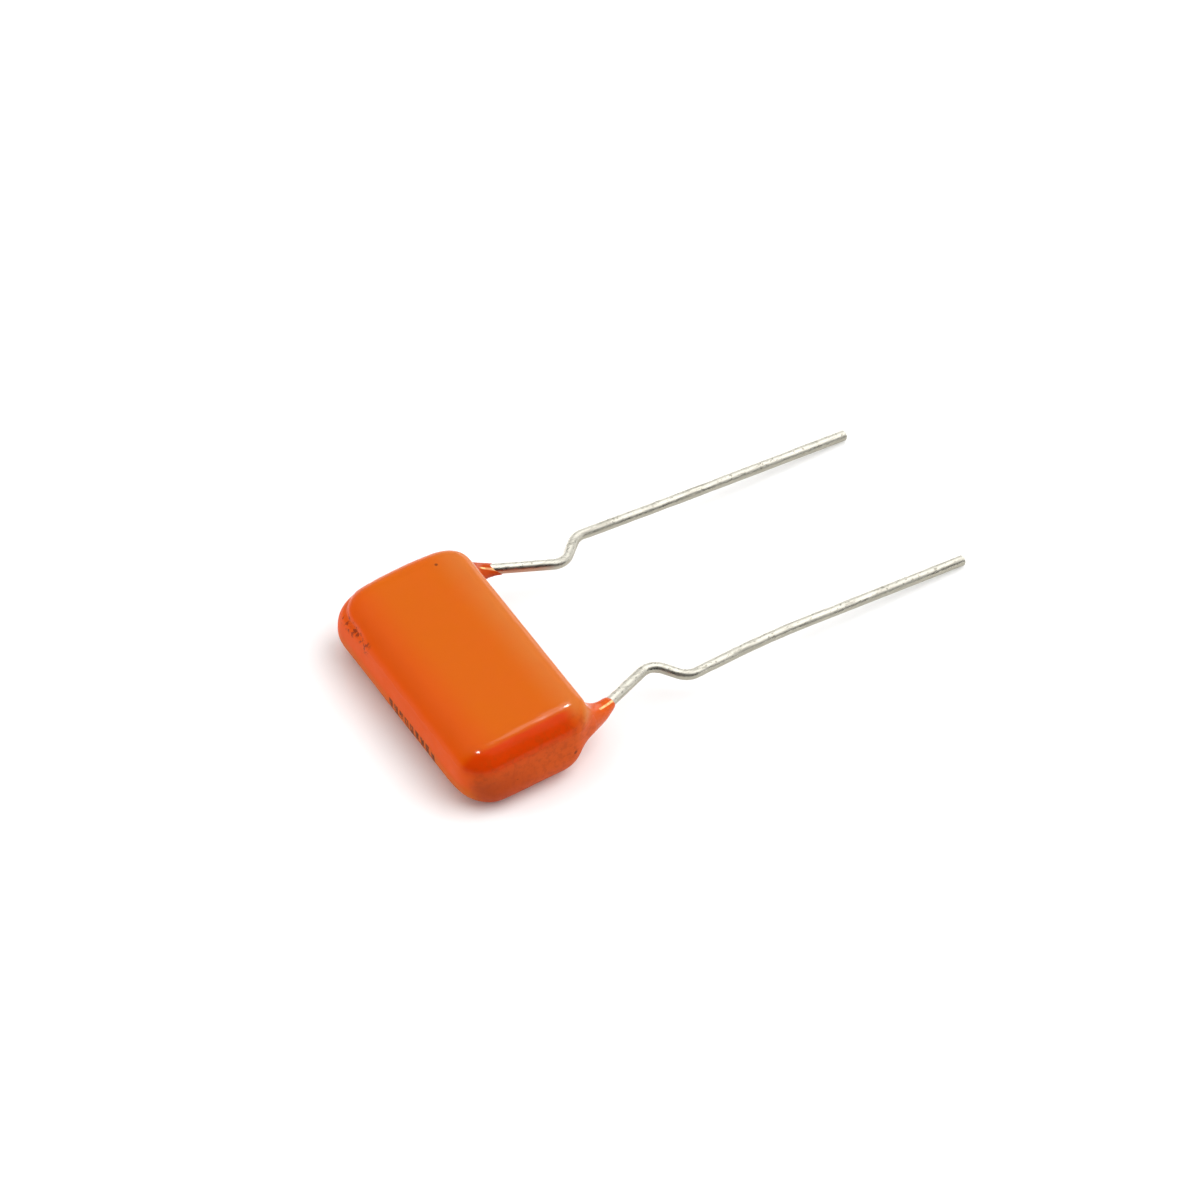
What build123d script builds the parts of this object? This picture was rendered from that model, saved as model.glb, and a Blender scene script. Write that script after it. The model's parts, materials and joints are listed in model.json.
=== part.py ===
from build123d import *

import math
import os

# Dipped polypropylene film capacitor, lying on one wide face. Sizes are in millimetres.
# X runs along the axis of the film winding, Y towards the free ends of the leads, Z up.
# The origin is the middle of the resting face.

# Body, over the coating. The leads come out of its front, which is a little higher and
# leans out over the resting surface. The depth is measured where they come out.
body_width = 20.3
body_depth = 10.7
body_height_back = 5.4
body_height_front = 5.95
front_lean_degrees = 17.0
top_crown = 0.12
upright_edge_radius = 2.4
top_edge_radius = 2.2
bottom_edge_radius = 2.1

# Walls of the coating over what it holds
floor_wall = 0.7
roof_wall = 0.55
side_wall = 1.05
end_wall = 1.05

# Film winding, the plain film wound over it, and the metal sprayed on both its ends
cover_thickness = 0.15
contact_thickness = 0.4

# Leads. Each is welded along one sprayed end, and sinks a little into it.
wire_diameter = 0.8
weld_depth = 0.12
weld_length = 6.4
lead_height = 3.05
lead_pitch = 15.0
exit_gap = 0.25
exit_bend_radius = 1.8
kink_radius = 1.4
bow_radius = 70.0
tip_bevel = 0.12

# Each lead's own bends. The first number is how far the point stands outside half the
# pitch, and the second is how far it lies in front of the origin.
left_bends = {"inner": (-1.82, 11.95), "outer": (0.1, 14.05), "bow": (-0.12, 22.0), "tip": (-0.4, 37.2)}
right_bends = {"inner": (-1.8, 12.1), "outer": (0.53, 13.9), "bow": (-0.03, 21.2), "tip": (0.28, 37.8)}

# Coating that ran down each lead: how far it reaches, and its section at the root
run_down_reach = 7.85
run_down_skin = 0.14
run_down_inset = 1.5
run_down_width = 1.6
run_down_height = 2.9
run_down_drop = 0.5
run_down_sections = 6

# Places that follow from the sizes above
wire_radius = wire_diameter / 2
half_width = body_width / 2
half_depth = body_depth / 2
winding_height = body_height_back - floor_wall - roof_wall
winding_depth = body_depth - 2 * side_wall
winding_z = floor_wall + winding_height / 2
weld_x = half_width - end_wall - wire_radius
contact_x = weld_x - wire_radius + weld_depth
film_width = 2 * (contact_x - contact_thickness)
exit_y = winding_depth / 2 + exit_gap


def racetrack(width, height, x_start, length):
    """Flattened round bar along X, centred on the winding."""
    section = Plane((x_start, 0, winding_z), x_dir=(0, 1, 0), z_dir=(1, 0, 0)) * SlotOverall(width, height)
    return extrude(section, length)


def film_winding():
    """Metallised film, wound and pressed flat. All its turns are one solid."""
    return racetrack(
        winding_depth - 2 * cover_thickness,
        winding_height - 2 * cover_thickness,
        -film_width / 2,
        film_width,
    )


def cover_film(winding):
    """Plain film wound over the metallised turns, as wide as they are."""
    return racetrack(winding_depth, winding_height, -film_width / 2, film_width) - winding


def end_contact(side, lead):
    """Sprayed metal over one end of the turns, with the groove that the welded lead made."""
    x_start = contact_x - contact_thickness if side > 0 else -contact_x
    return racetrack(winding_depth, winding_height, x_start, contact_thickness) - lead


def lead_points(side, bends):
    """Corners of one lead's centre line, from its inner end to its tip on the resting surface."""
    tip_y = bends["tip"][1]
    fall = (lead_height - wire_radius) / (tip_y - exit_y)
    points = [(side * weld_x, exit_y - weld_length, lead_height), (side * weld_x, exit_y, lead_height)]
    for name in ("inner", "outer", "bow", "tip"):
        outward, y = bends[name]
        x = side * (lead_pitch / 2 + outward)
        points.append((x, y, lead_height - fall * (y - exit_y)))
    return points


def lead(side, bends):
    """Round wire with a kink outside the body, and the edge of its sheared tip taken off."""
    radii = [exit_bend_radius, kink_radius, kink_radius, bow_radius]
    path = FilletPolyline(*lead_points(side, bends), radius=radii)
    wire = sweep(Plane(path @ 0, z_dir=path % 0) * Circle(wire_radius), path)
    tip_edge = wire.edges().sort_by(Axis.Y)[-1]
    return chamfer(tip_edge, tip_bevel)


def side_profile():
    """The body seen from one end: flat below, crowned and sloping above, leaning out in front."""
    lean = math.tan(math.radians(front_lean_degrees))
    top_back = (-half_depth, body_height_back)
    top_middle = (0, (body_height_front + body_height_back) / 2 + top_crown)
    top_front = (half_depth + lean * (body_height_front - lead_height), body_height_front)
    low_front = (half_depth - lean * lead_height, 0)
    low_back = (-half_depth, 0)
    outline = Curve() + [
        ThreePointArc(top_back, top_middle, top_front),
        Polyline(top_front, low_front, low_back, top_back),
    ]
    return Plane.YZ * make_face(outline)


def coated_block():
    """The coating's outside, solid, with every edge rounded as a dipped coat leaves it."""
    block = extrude(side_profile(), half_width, both=True)
    upright = [edge for edge in block.edges() if edge.bounding_box().size.Z > body_height_back / 2]
    block = fillet(upright, upright_edge_radius)
    block = fillet(block.faces().sort_by(Axis.Z)[-1].edges(), top_edge_radius)
    return fillet(block.faces().sort_by(Axis.Z)[0].edges(), bottom_edge_radius)


def run_down(side, bends):
    """Coating drawn out along one lead: a trumpet that thins from the body to a thin skin."""
    points = lead_points(side, bends)
    start = Vector(*points[1])
    run = Vector(*points[2]) - start
    root_y = half_depth - run_down_inset
    tip_radius = wire_radius + run_down_skin
    across = run.cross(Vector(0, 0, 1))
    sections = []
    for index in range(run_down_sections):
        share = index / (run_down_sections - 1)
        swell = (1 - share) ** 1.5
        y = root_y + share * (run_down_reach - root_y)
        centre = start + run * ((y - start.Y) / run.Y) - Vector(0, 0, run_down_drop * swell)
        half_across = tip_radius + (run_down_width / 2 - tip_radius) * swell
        half_high = tip_radius + (run_down_height / 2 - tip_radius) * swell
        place = Plane(centre, x_dir=across, z_dir=run)
        sections.append(place * Ellipse(half_across, half_high))
    return loft(sections)


def epoxy_coating(held):
    """One dipped coat, with its run down both leads, round everything that it holds."""
    coat = coated_block()
    coat += run_down(-1, left_bends)
    coat += run_down(1, right_bends)
    for piece in held:
        coat -= piece
    return coat


def build():
    lead_left = lead(-1, left_bends)
    lead_right = lead(1, right_bends)
    winding = film_winding()
    pieces = {
        "film_winding": winding,
        "cover_film": cover_film(winding),
        "end_contact_left": end_contact(-1, lead_left),
        "end_contact_right": end_contact(1, lead_right),
        "lead_left": lead_left,
        "lead_right": lead_right,
    }
    pieces["epoxy_coating"] = epoxy_coating(list(pieces.values()))
    return pieces


os.makedirs("parts", exist_ok=True)
for node, piece in build().items():
    export_step(piece, f"parts/{node}.step")
    print(node, "volume", round(piece.volume, 2))
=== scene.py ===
import json
import math

import bmesh
import bpy
from mathutils import Matrix, Vector, noise


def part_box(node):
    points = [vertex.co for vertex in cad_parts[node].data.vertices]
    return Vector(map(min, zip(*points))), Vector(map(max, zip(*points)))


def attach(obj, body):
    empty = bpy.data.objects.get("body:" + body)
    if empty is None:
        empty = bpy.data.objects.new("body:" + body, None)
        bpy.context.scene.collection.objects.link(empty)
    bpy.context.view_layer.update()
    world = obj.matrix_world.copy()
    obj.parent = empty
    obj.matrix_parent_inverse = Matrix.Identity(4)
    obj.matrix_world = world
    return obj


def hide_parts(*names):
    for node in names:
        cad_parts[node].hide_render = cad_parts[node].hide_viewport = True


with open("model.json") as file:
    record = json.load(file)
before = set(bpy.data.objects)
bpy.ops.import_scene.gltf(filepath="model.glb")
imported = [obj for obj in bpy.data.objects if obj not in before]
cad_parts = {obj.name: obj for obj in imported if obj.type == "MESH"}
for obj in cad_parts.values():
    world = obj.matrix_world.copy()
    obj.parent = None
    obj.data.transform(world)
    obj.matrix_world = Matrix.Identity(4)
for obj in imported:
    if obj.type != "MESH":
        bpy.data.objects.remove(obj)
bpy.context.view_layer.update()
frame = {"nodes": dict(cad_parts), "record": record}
mm = 0.001
up = Vector((0, 0, 1))


def ramp(value, start, end):
    # 0 at start, 1 at end
    return min(1.0, max(0.0, (value - start) / (end - start)))


def wireRadius():
    for mount in frame["record"]["mounts"]:
        if mount["name"] == "lead_left_free_end":
            return mount["dims"]["r_mm"] * mm


def mergedCopy(nodeName):
    bm = bmesh.new()
    bm.from_mesh(frame["nodes"][nodeName].data)
    bmesh.ops.remove_doubles(bm, verts=bm.verts, dist=0.0005 * mm)
    return bm


def everything(bm):
    return bm.verts[:] + bm.edges[:] + bm.faces[:]


def cutAcross(bm, point, normal):
    cut = bmesh.ops.bisect_plane(bm, geom=everything(bm), dist=0.0001 * mm,
                                 plane_co=point, plane_no=normal)
    return [item for item in cut["geom_cut"] if isinstance(item, bmesh.types.BMVert)]


def axisPoint(bm, y):
    # middle of the wire where a plane cuts it
    ring = cutAcross(bm, (0, y, 0), (0, 1, 0))
    return sum((v.co for v in ring), Vector()) / len(ring)


coatLow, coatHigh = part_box("epoxy_coating")
filmLow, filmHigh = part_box("cover_film")
radius = wireRadius()
frontY = filmHigh.y + filmLow.y - coatLow.y     # the coat is as thick in front as at the back
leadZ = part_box("lead_left")[1].z - radius       # height of the wire where it leaves the coat


def leadAxis(nodeName):
    # middle of the wire just in front of the body, and its direction there
    bm = mergedCopy(nodeName)
    start = axisPoint(bm, frontY + 0.35 * mm)
    end = axisPoint(bm, coatHigh.y - 0.4 * mm)
    bm.free()
    return start, (end - start).normalized()


def newMaterial(name):
    material = bpy.data.materials.new(name)
    material.use_nodes = True
    nodes = material.node_tree.nodes
    nodes.clear()
    output = nodes.new("ShaderNodeOutputMaterial")
    shader = nodes.new("ShaderNodeBsdfPrincipled")
    material.node_tree.links.new(shader.outputs["BSDF"], output.inputs["Surface"])
    return material, shader


class Tree:
    # short calls for the nodes that the materials below share
    def __init__(self, tree):
        self.tree = tree

    def add(self, kind, **settings):
        node = self.tree.nodes.new(kind)
        for key, value in settings.items():
            setattr(node, key, value)
        return node

    def put(self, socket, value):
        if isinstance(value, bpy.types.NodeSocket):
            self.tree.links.new(value, socket)
        else:
            socket.default_value = value

    def place(self, scale=(1, 1, 1)):
        coordinates = self.add("ShaderNodeTexCoord")
        mapping = self.add("ShaderNodeMapping")
        mapping.inputs["Scale"].default_value = scale
        self.put(mapping.inputs["Vector"], coordinates.outputs["Object"])
        return mapping.outputs["Vector"]

    def normal(self):
        return self.split(self.add("ShaderNodeTexCoord").outputs["Normal"])

    def noise(self, vector, scale, detail=2.0, roughness=0.5):
        node = self.add("ShaderNodeTexNoise")
        self.put(node.inputs["Vector"], vector)
        node.inputs["Scale"].default_value = scale
        node.inputs["Detail"].default_value = detail
        node.inputs["Roughness"].default_value = roughness
        return node.outputs["Fac"]

    def math(self, operation, a, b=0.0):
        node = self.add("ShaderNodeMath", operation=operation)
        self.put(node.inputs[0], a)
        self.put(node.inputs[1], b)
        return node.outputs[0]

    def times(self, *factors):
        result = factors[0]
        for factor in factors[1:]:
            result = self.math("MULTIPLY", result, factor)
        return result

    def dot(self, vector, axis):
        node = self.add("ShaderNodeVectorMath", operation="DOT_PRODUCT")
        self.put(node.inputs[0], vector)
        node.inputs[1].default_value = axis
        return node.outputs["Value"]

    def range(self, value, fromMin, fromMax, toMin=0.0, toMax=1.0):
        node = self.add("ShaderNodeMapRange", interpolation_type="SMOOTHSTEP")
        for key, number in zip(("Value", "From Min", "From Max", "To Min", "To Max"),
                               (value, fromMin, fromMax, toMin, toMax)):
            self.put(node.inputs[key], number)
        return node.outputs[0]

    def near(self, value, centre, full, none):
        # 1 within full of the centre, 0 beyond none
        return self.range(self.math("ABSOLUTE", self.math("SUBTRACT", value, centre)), none, full)

    def mix(self, share, a, b):
        node = self.add("ShaderNodeMix", data_type="RGBA")
        self.put(node.inputs["Factor"], share)
        self.put(node.inputs["A"], a)
        self.put(node.inputs["B"], b)
        return node.outputs["Result"]

    def split(self, vector):
        node = self.add("ShaderNodeSeparateXYZ")
        self.put(node.inputs[0], vector)
        return node.outputs

    def bump(self, height, strength, distance):
        node = self.add("ShaderNodeBump")
        node.inputs["Strength"].default_value = strength
        node.inputs["Distance"].default_value = distance
        self.put(node.inputs["Height"], height)
        return node.outputs["Normal"]

    def spot(self, parts, centre, size, soft):
        # 1 inside a round spot of that size, 0 outside
        total = 0.0
        for axis in range(3):
            away = self.math("SUBTRACT", parts[axis], centre[axis])
            total = self.math("ADD", self.math("MULTIPLY", away, away), total)
        return self.range(self.math("SQRT", total), size + soft, size - soft)


coat = {
    # colours; a name with X, Y or Z says where its colour starts and where it is full,
    # and a share how strong it is
    # painted light and shade: top, topBack, topFront, end, back and low are one coat lit and
    # shaded, each taken by which way the surface faces
    "top": (0.57, 0.104, 0.001, 1),
    "topBack": (0.58, 0.074, 0.001, 1),
    "topBackY": (-1.5 * mm, -4.5 * mm),
    # painted light: paler towards the leads, where the light comes from
    "topFront": (0.57, 0.160, 0.028, 1),
    "topFrontY": (1.8 * mm, 5.2 * mm),
    "topZ": (3.9 * mm, 4.9 * mm),
    "frontZ": (3.6 * mm, 4.9 * mm),
    "edge": (0.60, 0.042, 0.001, 1),        # painted shade, deeper red on the rounding of the near end
    "edgeY": (4.2 * mm, 2.7 * mm),
    "end": (0.61, 0.087, 0.008, 1),
    "endX": (8.6 * mm, 9.6 * mm),
    # painted light: the back lighter than the near end
    "back": (0.70, 0.080, 0.001, 1),
    # painted shade: darker towards the bottom of the back
    "low": (0.59, 0.106, 0.001, 1),
    "lowZ": (3.0 * mm, 1.6 * mm),
    "stain": (0.40, 0.046, 0.004, 1),       # blotches on the near end
    "stainShare": 0.5,
    "dusk": (0.47, 0.058, 0.004, 1),        # painted shade, darker towards the lower back corner of that end
    "duskY": (1.5 * mm, -3.0 * mm),
    "duskZ": (4.4 * mm, 2.6 * mm),
    "leftRunDown": (0.42, 0.050, 0.006, 1),       # darker on the left wire's run-down
    "leftRunDownX": (1 * mm, -1 * mm),
    "leftRunDownY": (5.0 * mm, 6.2 * mm),
    "leftRunDownShare": 0.8,
    "thin": (0.93, 0.60, 0.26, 1),          # painted highlight along the top of each run-down
    "ink": (0.12, 0.027, 0.004, 1),
    "inkShare": 0.8,
    "scuff": (0.24, 0.030, 0.005, 1),
    "scuffShare": 0.9,
    "specular": 0.085,
    "roughness": (0.06, 0.15),
    "satin": 0.4,       # extra roughness of the sides, and where it starts
    "satinZ": (4.7 * mm, 3.7 * mm),
    "satinY": (5.9 * mm, 5.2 * mm),
    "waveBump": (0.2, 0.02 * mm),       # strength and depth
    "clouds": 330,      # scales of the noise
    "blotches": 2300,
    "sheen": 900,
    "waves": 420,
    "wear": 3300,
    "rubs": 2900,
    "mottle": 2600,
    # painted highlight streak on each run-down: offset from the wire's middle, half its width, its
    # start and end
    "streak": (0.28 * mm, 0.11 * mm, 0.35 * mm, 2.1 * mm),
    # worn print low on the back: first mark, pitch, number of marks, lowest and highest
    "print": (-1.5 * mm, 0.72 * mm, 9, 1.2 * mm, 2.55 * mm),
    # rubbed marks on the ridge at the far back corner: along x, along y, middle and reach along z
    "scuffs": ((-4.3 * mm, -5.0 * mm), (-4.2 * mm, -4.8 * mm), 4.3 * mm, (0.3 * mm, 0.62 * mm)),
    # small dark specks: place and size in mm
    "specks": (((-7.92, 2.51, 5.8), 0.12), ((10.05, 3.25, 2.6), 0.15),
               ((9.75, 1.1, 3.4), 0.06), ((10.0, -1.6, 2.7), 0.06)),
}


def printMask(t, where, normal):
    # a row of plain bars, half worn away
    first, pitch, count, low, high = coat["print"]
    soft = 0.1 * mm
    along = t.math("DIVIDE", t.math("SUBTRACT", where[0], first), pitch)
    bar = t.near(t.math("FRACT", along), 0.4, 0.28, 0.38)
    row = t.times(t.range(along, -0.05, 0.0), t.range(along, count, count - 0.05))
    band = t.times(t.range(where[2], low, low + soft), t.range(where[2], high, high - soft))
    worn = t.range(t.noise(t.place((1, 1, 0.6)), coat["wear"], 3, 0.6), 0.40, 0.50)
    return t.times(bar, row, band, worn, t.range(normal[1], -0.4, -0.6))


def scuffMask(t, where):
    alongX, alongY, middleZ, reachZ = coat["scuffs"]
    zone = t.times(t.range(where[0], *alongX), t.range(where[1], *alongY),
                   t.near(where[2], middleZ, *reachZ))
    marks = t.range(t.noise(t.place(), coat["rubs"], 4, 0.7), 0.53, 0.59)
    return t.times(zone, marks, coat["scuffShare"])


def highlightStreakMask(t, place, normal, nodeName):
    # painted highlight: a narrow pale streak along the coat on the wire
    start, along = leadAxis(nodeName)
    across = along.cross(up).normalized()
    offset, width, first, last = coat["streak"]
    side = t.math("SUBTRACT", t.dot(place, across), start.dot(across))
    ahead = t.math("SUBTRACT", t.dot(place, along), start.dot(along))
    line = t.near(side, offset, width * 0.4, width)
    reach = t.times(t.range(ahead, first, first + 0.2 * mm), t.range(ahead, last, last - 0.1 * mm))
    uneven = t.range(t.noise(place, coat["mottle"], 2), 0.35, 0.6, 0.45, 1.0)
    return t.times(line, reach, uneven, t.range(normal[2], 0.2, 0.4))


def topColour(t, where, normal, cloud):
    # painted light: share of the top's colour, and that colour from back to front, paler towards
    # the leads; the front's upper rounding takes it too as a pale rim
    shade = t.mix(t.range(where[1], *coat["topBackY"]), coat["top"], coat["topBack"])
    shade = t.mix(t.range(where[1], *coat["topFrontY"]), shade, coat["topFront"])
    front = t.times(t.range(normal[1], 0.1, 0.5), t.range(where[2], *coat["frontZ"]))
    share = t.math("MAXIMUM", t.range(normal[2], 0.4, 0.99), front)
    uneven = t.range(cloud, 0.3, 0.65, 0.84, 1.0)
    return t.times(share, t.range(where[2], *coat["topZ"]), uneven), shade


def coatMaterial():
    material, shader = newMaterial("dippedEpoxy")
    t = Tree(material.node_tree)
    place = t.place()
    normal = t.normal()
    where = t.split(place)
    cloud = t.noise(place, coat["clouds"], 4, 0.6)

    # painted light and shade: the four sides, the top and the near end's rounding each take a
    # colour by which way they face
    back = t.mix(t.range(where[2], *coat["lowZ"]), coat["back"], coat["low"])
    colour = t.mix(t.range(normal[1], -0.2, -0.8), coat["end"], back)
    share, shade = topColour(t, where, normal, cloud)
    colour = t.mix(share, colour, shade)
    # painted shade: the near end's rounding deeper red
    rounding = t.times(t.range(normal[0], 0.15, 0.45), t.range(normal[2], 0.1, 0.5),
                       t.range(where[1], *coat["edgeY"]))
    colour = t.mix(rounding, colour, coat["edge"])

    # the coat on the left wire's run-down is darker, and on both run-downs a painted highlight runs
    # along the top
    leftRunDown = t.times(t.range(where[1], *coat["leftRunDownY"], 0, coat["leftRunDownShare"]),
                    t.range(where[0], *coat["leftRunDownX"]))
    colour = t.mix(leftRunDown, colour, coat["leftRunDown"])
    for nodeName in ("lead_left", "lead_right"):
        colour = t.mix(highlightStreakMask(t, place, normal, nodeName), colour, coat["thin"])

    colour = t.mix(printMask(t, where, normal), colour, coat["ink"])
    colour = t.mix(scuffMask(t, where), colour, coat["scuff"])

    # painted shade darkens the near end towards its lower back corner; the end is also blotched all
    # over
    atEnd = t.range(where[0], *coat["endX"])
    dusk = t.times(t.range(where[1], *coat["duskY"]), t.range(where[2], *coat["duskZ"]), atEnd)
    colour = t.mix(dusk, colour, coat["dusk"])
    blotches = t.noise(place, coat["blotches"], 4, 0.65)
    stain = t.times(t.range(blotches, 0.42, 0.66, 0, coat["stainShare"]), atEnd)
    colour = t.mix(stain, colour, coat["stain"])
    for centre, size in coat["specks"]:
        speck = t.spot(where, [number * mm for number in centre], size * mm, 0.05 * mm)
        colour = t.mix(t.times(speck, coat["inkShare"]), colour, coat["ink"])
    t.put(shader.inputs["Base Color"], colour)

    shader.inputs["IOR"].default_value = 1.5
    shader.inputs["Specular IOR Level"].default_value = coat["specular"]
    rough = t.range(t.noise(place, coat["sheen"], 2), 0.2, 0.8, *coat["roughness"])
    # the sides dried duller than the top and the tips on the wires
    satin = t.times(t.range(where[2], *coat["satinZ"]),
                    t.range(where[1], *coat["satinY"], 0, coat["satin"]))
    t.put(shader.inputs["Roughness"], t.math("ADD", rough, satin))
    waves = t.noise(place, coat["waves"], 2)
    t.put(shader.inputs["Normal"], t.bump(waves, *coat["waveBump"]))
    return material


wire = {
    "tin": (0.91, 0.88, 0.77, 1),
    # worn patches, and painted shade on the underside
    "wornAndShaded": (0.40, 0.38, 0.31, 1),
    "film": (0.40, 0.15, 0.07, 1),          # painted reflection of the body under the left wire, where it starts and is full
    "filmX": (1 * mm, -1 * mm),
    "filmY": (11.5 * mm, 9.5 * mm),
    "filmShare": 0.65,
    "roughness": (0.21, 0.41),
    "bump": (0.9, 0.02 * mm),       # strength and depth
    "grain": 4200,      # scales of the noise
    "patches": 1800,
    "streaks": 3800,
    "pits": 5600,
    "slice": 0.3 * mm,      # the wire is cut this often along it, for its dents
    # dents: scale of the noise, its level where they start, and their depth
    "dents": ((900, 0.25, 0.06 * mm), (2300, 0.3, 0.03 * mm)),
}


def wireMaterial():
    material, shader = newMaterial("tinnedWire")
    t = Tree(material.node_tree)
    normal = t.normal()
    patches = t.noise(t.place((1, 0.25, 1)), wire["patches"], 4, 0.6)
    specks = t.noise(t.place(), wire["grain"], 3, 0.6)
    worn = t.times(t.range(patches, 0.5, 0.72), t.range(specks, 0.35, 0.65))
    streaks = t.noise(t.place((1, 0.06, 1)), wire["streaks"], 3, 0.6)
    worn = t.math("MAXIMUM", worn, t.range(streaks, 0.54, 0.66, 0, 0.5))
    pits = t.noise(t.place((1, 0.6, 1)), wire["pits"], 2, 0.5)
    worn = t.math("MAXIMUM", worn, t.range(pits, 0.60, 0.66, 0, 0.8))
    # painted shade: the underside is darker
    under = t.math("ADD", normal[2], t.times(specks, 0.3))
    worn = t.math("MAXIMUM", worn, t.range(under, 0.92, 0.45))
    colour = t.mix(worn, wire["tin"], wire["wornAndShaded"])
    # painted reflection of the orange body under the left wire beside the body
    where = t.split(t.place())
    low = t.math("ADD", normal[2], t.times(patches, 0.4))
    film = t.times(t.range(where[0], *wire["filmX"]), t.range(where[1], *wire["filmY"]),
                   t.range(low, 1.05, 0.6, 0, wire["filmShare"]))
    colour = t.mix(film, colour, wire["film"])
    t.put(shader.inputs["Base Color"], colour)
    shader.inputs["Metallic"].default_value = 1.0
    t.put(shader.inputs["Roughness"], t.range(patches, 0.3, 0.7, *wire["roughness"]))
    grain = t.noise(t.place((1, 0.5, 1)), wire["grain"], 3, 0.6)
    t.put(shader.inputs["Normal"], t.bump(grain, *wire["bump"]))
    return material


zinc = {
    "dark": (0.24, 0.25, 0.26, 1),
    "light": (0.55, 0.56, 0.57, 1),
    "grains": 5200,     # scale of the noise
    "bump": (0.9, 0.06 * mm),       # strength and depth
}


def sprayMaterial():
    material, shader = newMaterial("sprayedZinc")
    t = Tree(material.node_tree)
    grains = t.noise(t.place(), zinc["grains"], 4, 0.7)
    t.put(shader.inputs["Base Color"], t.mix(grains, zinc["dark"], zinc["light"]))
    shader.inputs["Metallic"].default_value = 1.0
    t.put(shader.inputs["Roughness"], t.range(grains, 0.2, 0.8, 0.5, 0.75))
    t.put(shader.inputs["Normal"], t.bump(grains, *zinc["bump"]))
    return material


films = {
    # light and dark colour, and roughness
    "metallisedFilm": ((0.62, 0.63, 0.64, 1), (0.36, 0.37, 0.39, 1), 0.35),
    "plainFilm": ((0.80, 0.80, 0.76, 1), (0.62, 0.62, 0.58, 1), 0.3),
    "turns": 2600,      # scales of the wave and the noise
    "haze": 500,
    "bump": (0.3, 0.01 * mm),       # strength and depth
}


def filmMaterial(name):
    # the edges of the turns show as fine lines round the winding
    light, dark, roughness = films[name]
    material, shader = newMaterial(name)
    t = Tree(material.node_tree)
    turns = t.add("ShaderNodeTexWave", wave_type="BANDS", bands_direction="Z")
    t.put(turns.inputs["Vector"], t.place())
    turns.inputs["Scale"].default_value = films["turns"]
    turns.inputs["Distortion"].default_value = 1.5
    haze = t.noise(t.place(), films["haze"], 3)
    colour = t.mix(t.times(turns.outputs["Fac"], 0.4), light, dark)
    t.put(shader.inputs["Base Color"], t.mix(t.times(haze, 0.3), colour, dark))
    t.put(shader.inputs["Roughness"], t.range(haze, 0.2, 0.8, roughness - 0.06, roughness + 0.08))
    t.put(shader.inputs["Normal"], t.bump(turns.outputs["Fac"], *films["bump"]))
    return material


body = {
    "uprightRadius": 2.4 * mm,
    "topRadius": 1.8 * mm,
    "bottomRadius": 2.1 * mm,
    "edgeSegments": 6,
    "cell": 0.75 * mm,      # size of the block's faces before they are subdivided
    "widestZ": 2.2 * mm,        # height where the ends reach furthest
    "backHeight": 5.38 * mm,
    "frontHeight": 5.93 * mm,
    "crown": 0.10 * mm,
    "lean": math.radians(17),       # of the front, out over the leads
    # how far each end leans in for its height above the widest place, and the share of the
    # half length where that starts
    "endLean": 0.14,
    "endStart": 0.7,
    # share of that lean that the middle of the far end lacks, and how far that reaches along y
    "farSwell": 0.85,
    "farReach": 4.6 * mm,
    # how much the front is drawn in above the leads, and where that starts and is full
    "frontDraw": 0.54 * mm,
    "frontDrawZ": (3 * mm, 4.6 * mm),
    # corners that swell past the rounding: how far, lowest and highest
    "frontCorner": (0.2 * mm, 3 * mm, 6.2 * mm),
    "farCorner": (0.27 * mm, 0.8 * mm, 4.7 * mm),
    # the near left foot is drawn in: how much, and where along x, y and z
    "nearCorner": (0.28 * mm, (6.5 * mm, 9.5 * mm), (-2.5 * mm, -5 * mm), (3.4 * mm, 1.4 * mm)),
    # the whole near foot stands out: how much, and where along x and z
    "nearFoot": (0.1 * mm, (7.2 * mm, 9.8 * mm), (3 * mm, 0)),
    "wobble": 0.05 * mm,
    "wobbleScales": (210, 520),
    "wobbleZ": (0, 0.4 * mm),       # where it starts and is full, up from the floor
    "wobbleFront": (1.5 * mm, 0.5 * mm),        # and on the wires, past the front of the body
    # groove that leaves a lip round the top at the far back corner: its depth, its height and
    # half width, and where it starts and is full along x and y
    "lip": (0.2 * mm, 4.55 * mm, 0.28 * mm, (-5.0 * mm, -6.6 * mm), (-3.2 * mm, -4.2 * mm)),
    "voxel": 0.14 * mm,
    "smoothTurns": 5,
    "smoothReach": 0.9 * mm,        # how far past the front of the body that goes
}


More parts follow.
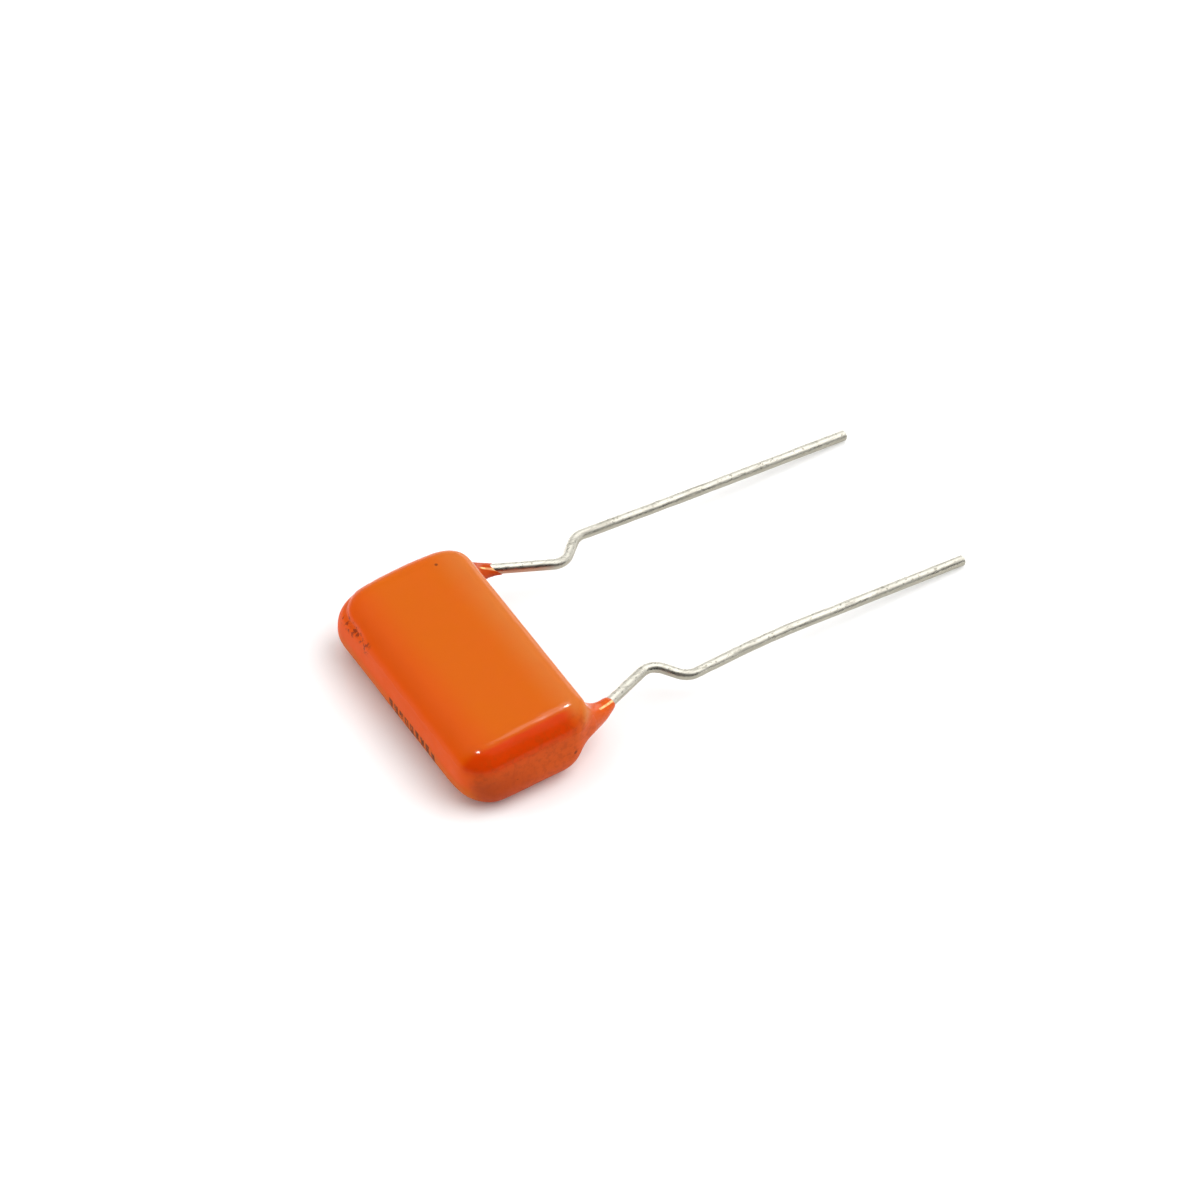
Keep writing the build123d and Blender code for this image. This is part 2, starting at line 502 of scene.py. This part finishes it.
def roundedBlock():
    bm = bmesh.new()
    low = Vector((coatLow.x, coatLow.y, 0))
    high = Vector((coatHigh.x, frontY, body["frontHeight"]))
    size = high - low
    shape = Matrix.Translation((low + high) / 2) @ Matrix.Diagonal((*size, 1))
    bmesh.ops.create_cube(bm, size=1, matrix=shape)

    def level(edge, z):
        return all(abs(v.co.z - z) < 0.01 * mm for v in edge.verts)

    def roundOff(edges, offset):
        bmesh.ops.bevel(bm, geom=edges, offset=offset, offset_type="OFFSET", affect="EDGES",
                        profile=0.5, segments=body["edgeSegments"], clamp_overlap=True, material=-1)

    upright = [e for e in bm.edges if not level(e, 0) and not level(e, high.z)]
    roundOff(upright, body["uprightRadius"])
    roundOff([e for e in bm.edges if level(e, high.z)], body["topRadius"])
    roundOff([e for e in bm.edges if level(e, 0)], body["bottomRadius"])

    def cuts(start, end, axis):
        count = max(2, round((end - start) / body["cell"]))
        for index in range(count + 1):
            cutAcross(bm, axis * (start + (end - start) * index / count), axis)

    inset = body["uprightRadius"]
    cuts(low.x + inset, high.x - inset, Vector((1, 0, 0)))
    cuts(low.y + inset, high.y - inset, Vector((0, 1, 0)))
    cuts(body["bottomRadius"], high.z - body["topRadius"], up)
    bmesh.ops.remove_doubles(bm, verts=bm.verts, dist=0.01 * mm)
    return bm


def swellCorner(v, cornerX, cornerY, swell, lowZ, topZ):
    # moves the side wall at one upright corner out from the corner's centre
    inset = body["uprightRadius"]
    outX = v.co.x - cornerX + math.copysign(inset, cornerX)
    outY = v.co.y - cornerY + math.copysign(inset, cornerY)
    if outX * cornerX <= 0 or outY * cornerY <= 0:
        return
    away = math.hypot(outX, outY)
    swell *= 2 * abs(outX * outY) / away ** 2
    swell *= ramp(v.co.z, lowZ, lowZ + mm) * ramp(v.co.z, topZ, topZ - 0.9 * mm)
    v.co.x += swell * outX / away
    v.co.y += swell * outY / away


def shapeBlock(bm):
    # the top slopes and is crowned, the front leans out, and the ends and corners differ a little
    depth = frontY - coatLow.y
    draw, drawX, drawY, drawZ = body["nearCorner"]
    stand, footX, footZ = body["nearFoot"]
    for v in bm.verts:
        swellCorner(v, coatHigh.x, frontY, *body["frontCorner"])
        swellCorner(v, coatLow.x, coatLow.y, *body["farCorner"])
        share = (v.co.y - coatLow.y) / depth
        high = body["backHeight"] + (body["frontHeight"] - body["backHeight"]) * share
        high += body["crown"] * (1 - (2 * share - 1) ** 2)
        lift = v.co.z / body["frontHeight"]

        front = max(0.0, v.co.y / frontY)
        leanOut = math.tan(body["lean"]) * (v.co.z - leadZ)
        v.co.y += leanOut * front * front * (3 - 2 * min(front, 1))
        v.co.y -= body["frontDraw"] * min(1.0, front * front) * ramp(v.co.z, *body["frontDrawZ"])

        lean = body["endLean"]
        if v.co.x < 0:
            lean *= 1 - body["farSwell"] * max(0.0, 1 - (v.co.y / body["farReach"]) ** 2)
        toEnd = ramp(abs(v.co.x), body["endStart"] * coatHigh.x, coatHigh.x)
        v.co.x -= math.copysign(lean * max(0.0, v.co.z - body["widestZ"]) * toEnd, v.co.x)
        v.co.z = lift * high

        corner = draw * ramp(v.co.x, *drawX) * ramp(v.co.y, *drawY) * ramp(v.co.z, *drawZ)
        v.co.x += stand * ramp(v.co.x, *footX) * ramp(v.co.z, *footZ)
        v.co.x -= corner
        v.co.y += corner


runDown = {
    "skin": 0.07 * mm,
    # rings, in mm along the wire from where it leaves the body
    "stations": (-1.7, -1.0, -0.4, 0.0, 0.4, 0.8, 1.2, 1.6, 1.95),
    "sides": 24,
    "endGap": 0.08 * mm,        # how far they stop short of the end of the coat in the frame
    "ragged": 0.05,     # unevenness of that end, as a share of the length, and its scale
    "raggedScale": 2.1,
    # how far the coat reaches beyond the wire on each side, how early it ends on top,
    # where and how fast it thins, the crest up its outer side beside the body, and
    # the seed of its ragged end
    "lead_left": {"outward": 0.5 * mm, "inward": 0.45 * mm, "above": 0.2 * mm,
                  "below": 1.1 * mm, "early": 0.40, "foot": -0.4 * mm, "fade": 1.6,
                  "crest": 0.0, "seed": 1.3},
    "lead_right": {"outward": 0.36 * mm, "inward": 0.35 * mm, "above": 0.36 * mm,
                   "below": 0.75 * mm, "early": 0.12, "foot": 0.6 * mm, "fade": 1.0,
                   "crest": 1.75 * mm, "seed": 4.1},
    "crestReach": (1.47 * mm, -0.63 * mm),      # where the crest starts and is full
    "web": 1.15 * mm,      # radius of the hollow between coat and wire
    # smoothing round each root: how far behind and below the wire, first and last reach, turns
    "blendRoot": (0.5 * mm, 0.4 * mm),
    "blendReach": (2.6 * mm, 1.1 * mm),
    "blendTurns": 42,
}


def addSleeve(bm, nodeName):
    # coating that ran down the wire: a web under it that narrows to a thin skin
    start, along = leadAxis(nodeName)
    across = along.cross(up).normalized()
    rise = across.cross(along)
    side = 1 if start.x > 0 else -1
    form = runDown[nodeName]
    foot = form["foot"]
    length = (coatHigh.y - start.y) / along.y - runDown["endGap"]
    thin = radius + runDown["skin"]
    previous = None
    for station in [number * mm for number in runDown["stations"]] + [length]:
        share = ramp(station, foot, length)
        left = (1 - share) ** form["fade"]
        circle = bmesh.ops.create_circle(bm, cap_ends=False, radius=radius,
                                         segments=runDown["sides"])
        ring = circle["verts"]
        for k, v in enumerate(ring):
            angle = 2 * math.pi * k / len(ring)
            cosine, sine = math.cos(angle), math.sin(angle)
            wide = thin + form["outward" if cosine * side > 0 else "inward"] * left
            tall = thin + form["above" if sine > 0 else "below"] * left
            if sine > 0:
                beside = ramp(station, *runDown["crestReach"])
                tall += form["crest"] * beside ** 2 * math.sqrt(max(0.0, cosine * side))
            reach = 1 / math.hypot(cosine / wide, sine / tall)
            # the end on the wire is ragged, and further back on top
            uneven = noise.noise(Vector((cosine, sine, form["seed"])) * runDown["raggedScale"])
            shift = runDown["ragged"] * uneven - form["early"] * (0.5 + 0.5 * sine) ** 1.5
            ahead = station + shift * length * share ** 3
            v.co = start + along * ahead + (across * cosine + rise * sine) * reach
        edges = list({e for v in ring for e in v.link_edges})
        if previous:
            bmesh.ops.bridge_loops(bm, edges=previous + edges)
        else:
            bmesh.ops.holes_fill(bm, edges=edges, sides=0)
        previous = edges
    bmesh.ops.holes_fill(bm, edges=previous, sides=0)


def merged(bm):
    # overlapping closed shapes become one skin
    mesh = bpy.data.meshes.new("coatParts")
    bm.to_mesh(mesh)
    bm.free()
    parts = bpy.data.objects.new("coatParts", mesh)
    bpy.context.scene.collection.objects.link(parts)
    smooth = parts.modifiers.new("smooth", "SUBSURF")
    smooth.levels = smooth.render_levels = 2
    # growing and shrinking again leaves the outside as it is and fills the hollows beside the wires
    for grow in (runDown["web"], -runDown["web"], 0):
        skin = parts.modifiers.new("skin", "REMESH")
        skin.mode = "VOXEL"
        skin.voxel_size = body["voxel"]
        if grow:
            offset = parts.modifiers.new("grow", "DISPLACE")
            offset.mid_level = 0
            offset.strength = grow
    whole = parts.evaluated_get(bpy.context.evaluated_depsgraph_get())
    bm = bmesh.new()
    bm.from_mesh(whole.data)
    bpy.data.objects.remove(parts)
    bpy.data.meshes.remove(mesh)
    return bm


def smoothOut(bm, verts):
    bmesh.ops.smooth_vert(bm, verts=verts, factor=0.5,
                          use_axis_x=True, use_axis_y=True, use_axis_z=True)


def blendRoots(bm):
    # the body runs smoothly into the coat on each wire
    behind, below = runDown["blendRoot"]
    wide, narrow = runDown["blendReach"]
    turns = runDown["blendTurns"]
    for nodeName in ("lead_left", "lead_right"):
        start, along = leadAxis(nodeName)
        root = start - along * behind - up * below
        near = [v for v in bm.verts if (v.co - root).length < wide]
        for turn in range(turns):
            reach = wide + (narrow - wide) * turn / turns
            near = [v for v in near if (v.co - root).length < reach]
            smoothOut(bm, near)


def moveIn(bm):
    # the dip is a little uneven, and a groove leaves a lip at the far back corner
    lip, lipZ, lipDepth, lipX, lipY = body["lip"]
    coarse, fine = body["wobbleScales"]
    bm.normal_update()
    for v in bm.verts:
        rough = noise.noise(v.co * coarse) * 0.5 + 0.5 + 0.3 * noise.noise(v.co * fine)
        away = ramp(v.co.z, *body["wobbleZ"]) * ramp(v.co.y - frontY, *body["wobbleFront"])
        groove = math.exp(-((v.co.z - lipZ) / lipDepth) ** 2)
        groove *= ramp(v.co.x, *lipX) * ramp(v.co.y, *lipY)
        v.co -= v.normal * (body["wobble"] * rough * away + lip * groove)


def finishPiece(bm, name, material, sharpAngle=None):
    bmesh.ops.recalc_face_normals(bm, faces=bm.faces)
    for face in bm.faces:
        face.smooth = True
    if sharpAngle:
        for edge in bm.edges:
            edge.smooth = not (len(edge.link_faces) == 2 and edge.calc_face_angle() > sharpAngle)
    mesh = bpy.data.meshes.new(name)
    bm.to_mesh(mesh)
    bm.free()
    mesh.materials.append(material)
    piece = bpy.data.objects.new(name, mesh)
    bpy.context.scene.collection.objects.link(piece)
    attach(piece, "root")
    return piece


def buildCoat(material):
    bm = roundedBlock()
    shapeBlock(bm)
    addSleeve(bm, "lead_left")
    addSleeve(bm, "lead_right")
    bmesh.ops.recalc_face_normals(bm, faces=bm.faces)
    bm = merged(bm)
    block = [v for v in bm.verts if v.co.y < frontY + body["smoothReach"]]
    for turn in range(body["smoothTurns"]):
        smoothOut(bm, block)
    blendRoots(bm)
    moveIn(bm)
    print("dipped coat,", len(bm.faces), "faces")
    piece = finishPiece(bm, "dippedCoat", material)
    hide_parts("epoxy_coating")
    return piece


def buildLead(nodeName, pieceName, material):
    bm = mergedCopy(nodeName)
    low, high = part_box(nodeName)
    count = round((high.y - low.y) / wire["slice"])
    for index in range(1, count):
        cutAcross(bm, (0, low.y + (high.y - low.y) * index / count, 0), (0, 1, 0))
    bm.normal_update()
    for v in bm.verts:
        v.co -= v.normal * sum(depth * max(0.0, noise.noise(v.co * scale) - start)
                               for scale, start, depth in wire["dents"])
    print(pieceName + ",", len(bm.faces), "faces")
    piece = finishPiece(bm, pieceName, material, math.radians(30))
    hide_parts(nodeName)


studio = {
    "floorColour": (0.94, 0.94, 0.94, 1),
    "floorSize": 3.0,
    # light of the world: the least, what the far side adds and what stands overhead there
    "dim": 0.05,
    "backdrop": 0.58,
    "overhead": 0.8,
    # where those two start and are full
    "farDirection": (-0.72, 0.69, 0),
    "farSide": (-0.5, 0.02),
    "overheadZ": (0.45, 0.92),
}

# direction from the part, distance, size, power, seen in reflections
lamps = {
    "key": ((0.33, 0.46, 0.82), 1.2, 1.2, 9.2, False),
    "sky": ((0.3, 0.1, 0.95), 1.0, 3.0, 3.3, False),
    "fill": ((-0.45, -0.85, 0.28), 1.0, 0.8, 4.1, False),
    "strip": ((-0.27, 0.35, 0.90), 0.6, 0.21, 0.85, True),
    "glintRight": ((-0.22, 0.36, 0.91), 0.6, 0.065, 2.9, True),
    "glintLeft": ((-0.04, -0.234, 0.971), 0.6, 0.065, 2.9, True),
    "farCard": ((-0.58, 0.80, 0.08), 0.8, 0.5, 1.6, True),
}


def buildFloor():
    bm = bmesh.new()
    bmesh.ops.create_grid(bm, x_segments=1, y_segments=1, size=studio["floorSize"] / 2)
    mesh = bpy.data.meshes.new("studioFloor")
    bm.to_mesh(mesh)
    bm.free()
    material, shader = newMaterial("paleFloor")
    shader.inputs["Base Color"].default_value = studio["floorColour"]
    shader.inputs["Roughness"].default_value = 0.9
    shader.inputs["Specular IOR Level"].default_value = 0.0
    mesh.materials.append(material)
    floor = bpy.data.objects.new("studioFloor", mesh)
    bpy.context.scene.collection.objects.link(floor)


def buildLamp(name, coatOnly):
    # soft lamps give diffuse light, which only the coat blocks; the others show as glints on it
    direction, distance, size, power, reflected = lamps[name]
    lamp = bpy.data.lights.new(name, "AREA")
    lamp.shape = "DISK"
    lamp.size = size
    lamp.energy = power
    holder = bpy.data.objects.new(name, lamp)
    bpy.context.scene.collection.objects.link(holder)
    toward = Vector(direction).normalized()
    holder.location = toward * distance
    holder.rotation_euler = toward.to_track_quat("Z", "Y").to_euler()
    holder.visible_camera = False
    holder.visible_glossy = reflected
    holder.visible_diffuse = not reflected
    if reflected:
        holder.light_linking.receiver_collection = coatOnly
    else:
        holder.light_linking.blocker_collection = coatOnly


def buildLamps(coatPiece):
    coatOnly = bpy.data.collections.new("coatOnly")
    coatOnly.objects.link(coatPiece)
    for name in lamps:
        buildLamp(name, coatOnly)


def buildWorld():
    world = bpy.data.worlds.new("studioWorld")
    bpy.context.scene.world = world
    world.use_nodes = True
    t = Tree(world.node_tree)
    direction = t.add("ShaderNodeTexCoord").outputs["Generated"]
    far = t.range(t.dot(direction, studio["farDirection"]), *studio["farSide"])
    high = t.range(t.split(direction)[2], *studio["overheadZ"], 0, studio["overhead"])
    level = t.times(far, t.math("ADD", high, studio["backdrop"]))
    level = t.math("ADD", level, studio["dim"])
    shade = t.add("ShaderNodeCombineColor")
    for socket in shade.inputs[:3]:
        t.put(socket, level)
    t.put(world.node_tree.nodes["Background"].inputs["Color"], shade.outputs["Color"])


cameraView = {
    "azimuth": math.radians(58.23),
    "elevation": math.radians(48.97),
    "distance": 500 * mm,
    "lens": 209.2,
    "aimRight": 9.731 * mm,
    "aimUp": 7.355 * mm,
}


def buildCamera():
    azimuth, elevation = cameraView["azimuth"], cameraView["elevation"]
    level = math.cos(elevation)
    back = Vector((math.sin(azimuth) * level, -math.cos(azimuth) * level, math.sin(elevation)))
    right = Vector((math.cos(azimuth), math.sin(azimuth), 0))
    upward = back.cross(right)
    aim = right * cameraView["aimRight"] + upward * cameraView["aimUp"]
    camera = bpy.data.cameras.new("studioCamera")
    camera.lens = cameraView["lens"]
    camera.sensor_width = 36
    camera.clip_start = 0.01
    camera.clip_end = 20
    holder = bpy.data.objects.new("studioCamera", camera)
    bpy.context.scene.collection.objects.link(holder)
    holder.matrix_world = Matrix.Translation(aim + back * cameraView["distance"]) @ Matrix(
        (right, upward, back)).transposed().to_4x4()
    bpy.context.scene.camera = holder


print("inside")
spray = sprayMaterial()
for nodeName, material in (("end_contact_left", spray), ("end_contact_right", spray),
                           ("film_winding", filmMaterial("metallisedFilm")),
                           ("cover_film", filmMaterial("plainFilm"))):
    mesh = frame["nodes"][nodeName].data
    mesh.materials.clear()
    mesh.materials.append(material)

print("coat")
dippedCoat = buildCoat(coatMaterial())

print("leads")
tin = wireMaterial()
buildLead("lead_left", "leadLeft", tin)
buildLead("lead_right", "leadRight", tin)

print("studio")
buildFloor()
buildLamps(dippedCoat)
buildWorld()
buildCamera()
bpy.context.scene.view_settings.view_transform = "Standard"
